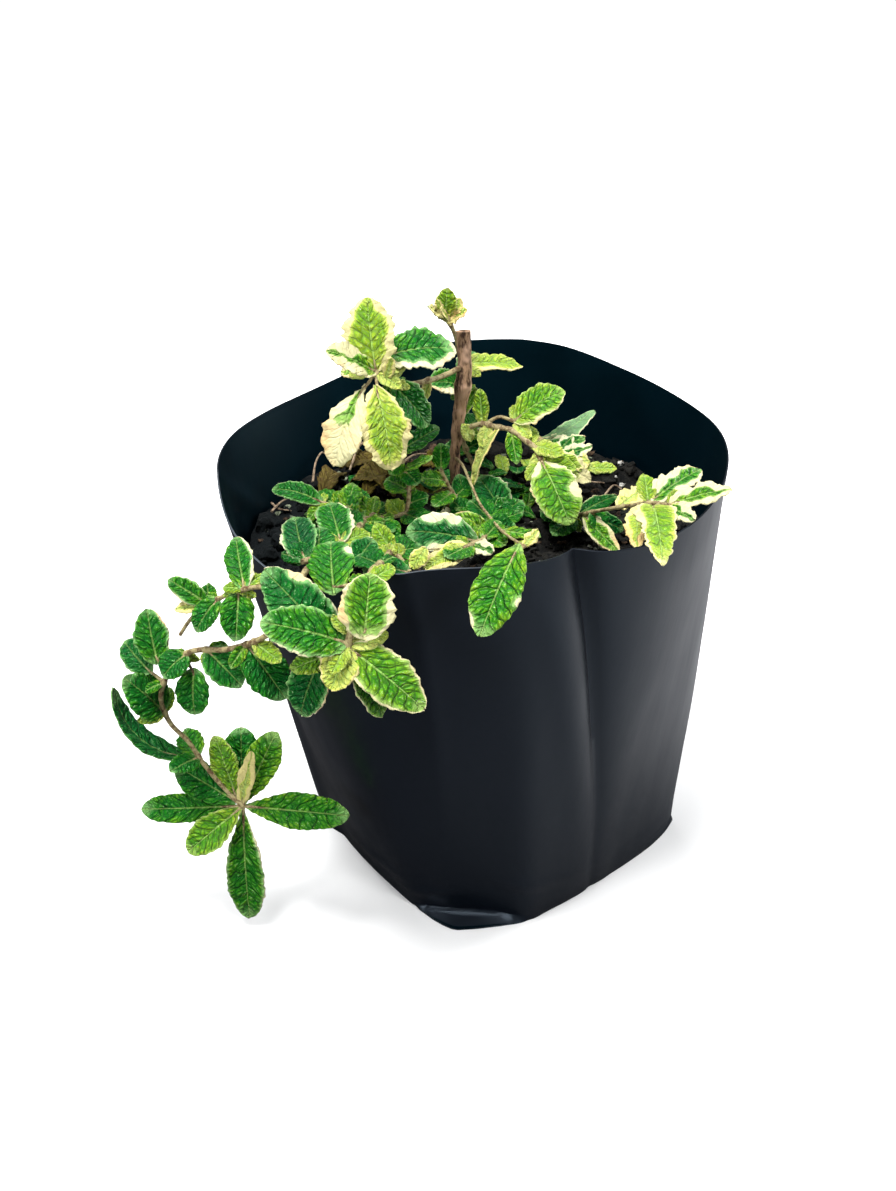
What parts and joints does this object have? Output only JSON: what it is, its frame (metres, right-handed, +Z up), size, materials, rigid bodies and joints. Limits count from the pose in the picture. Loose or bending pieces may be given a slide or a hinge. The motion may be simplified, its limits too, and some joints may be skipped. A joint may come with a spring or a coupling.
{
  "type": "potted mint plant",
  "caption": "Variegated mint plant with trailing leafy stems and a bare woody stem, growing in soil in a soft black film grow bag.",
  "frame": {"origin": "middle of the bag's foot, on the surface that the bag stands on", "axes": "+Z up; -Y towards the front of the bag, where the long seam fold runs down; -X towards the side where the longest stem trails over the rim"},
  "size_m": [0.1876, 0.1811, 0.1875],
  "materials": {
    "film": "satin",
    "soil": "matte",
    "bark": "matte",
    "leaf": "satin",
    "dry_leaf": "matte"
  },
  "bodies": {
    "root": {"grow_bag": "film", "soil": "soil", "woody_stem": "bark", "upper_left_shoot": "leaf", "back_shoot": "leaf", "right_branch": "leaf", "front_runner": "leaf", "middle_shoot": "leaf", "right_shoot": "leaf", "left_shoot": "leaf", "rim_shoot": "leaf", "trailing_shoot": "leaf", "dry_leaf_left": "dry_leaf", "dry_leaf_arched": "dry_leaf", "dry_leaf_yellow": "dry_leaf"}
  },
  "joints": []
}
